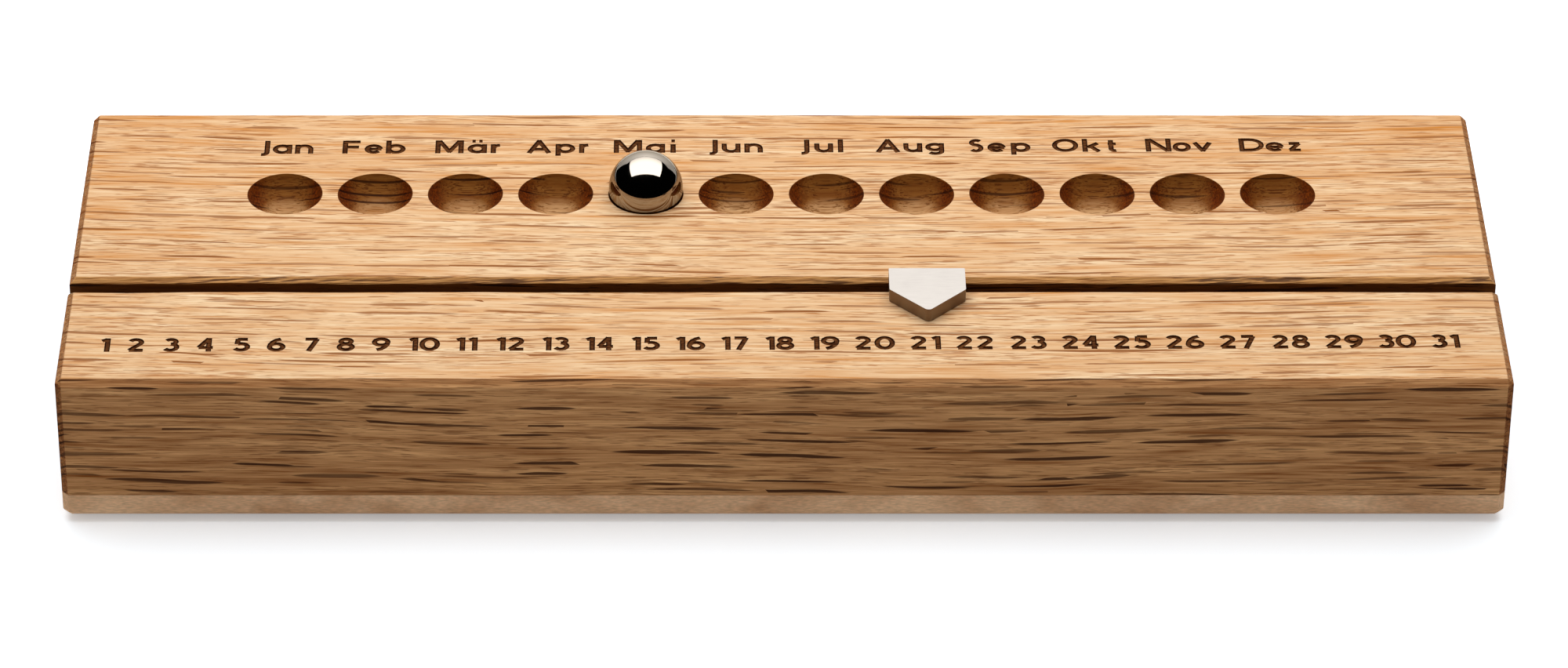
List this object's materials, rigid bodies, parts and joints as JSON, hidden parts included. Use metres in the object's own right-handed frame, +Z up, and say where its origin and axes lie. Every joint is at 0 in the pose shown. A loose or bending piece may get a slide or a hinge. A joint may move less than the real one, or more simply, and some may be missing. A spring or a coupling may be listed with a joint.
{
  "type": "perpetual desk calendar",
  "caption": "Wooden desk block with a row of round wells for a month ball and a slot along which a pointer slides to the day.",
  "frame": {"origin": "centre of the outline seen from above, at the level the feet stand on", "axes": "+X along the month and day rows, left to right for a reader at the desk; +Y away from the reader; +Z up"},
  "size_m": [0.3, 0.1042, 0.0451],
  "materials": {
    "oak": "solid oak, planed and oiled",
    "maple": "solid pale hardwood, sanded",
    "ball_steel": "polished bearing steel",
    "pointer_steel": "satin ground stainless steel",
    "fastener_steel": "zinc plated steel",
    "felt": "pressed wool felt"
  },
  "bodies": {
    "block": {"base_plate": "maple", "front_bar": "oak", "rear_bar": "oak", "base_screw_1": "fastener_steel", "base_screw_2": "fastener_steel", "base_screw_3": "fastener_steel", "base_screw_4": "fastener_steel", "base_screw_5": "fastener_steel", "base_screw_6": "fastener_steel", "base_screw_7": "fastener_steel", "base_screw_8": "fastener_steel", "foot_front_left": "felt", "foot_rear_left": "felt", "foot_front_right": "felt", "foot_rear_right": "felt"},
    "pointer": {"pointer_plate": "pointer_steel", "pointer_tongue": "pointer_steel", "pointer_pin_left": "fastener_steel", "pointer_pin_right": "fastener_steel"},
    "ball": {"month_ball": "ball_steel"}
  },
  "joints": [
    {"name": "pointer_slide", "type": "slide", "parent": "block", "child": "pointer", "axis": [1, 0, 0], "range_m": [-0.1709, 0.1071]},
    {"name": "ball_lift", "type": "slide", "parent": "block", "child": "ball", "axis": [0, 0, 1], "range_m": [0, 0.025]}
  ]
}
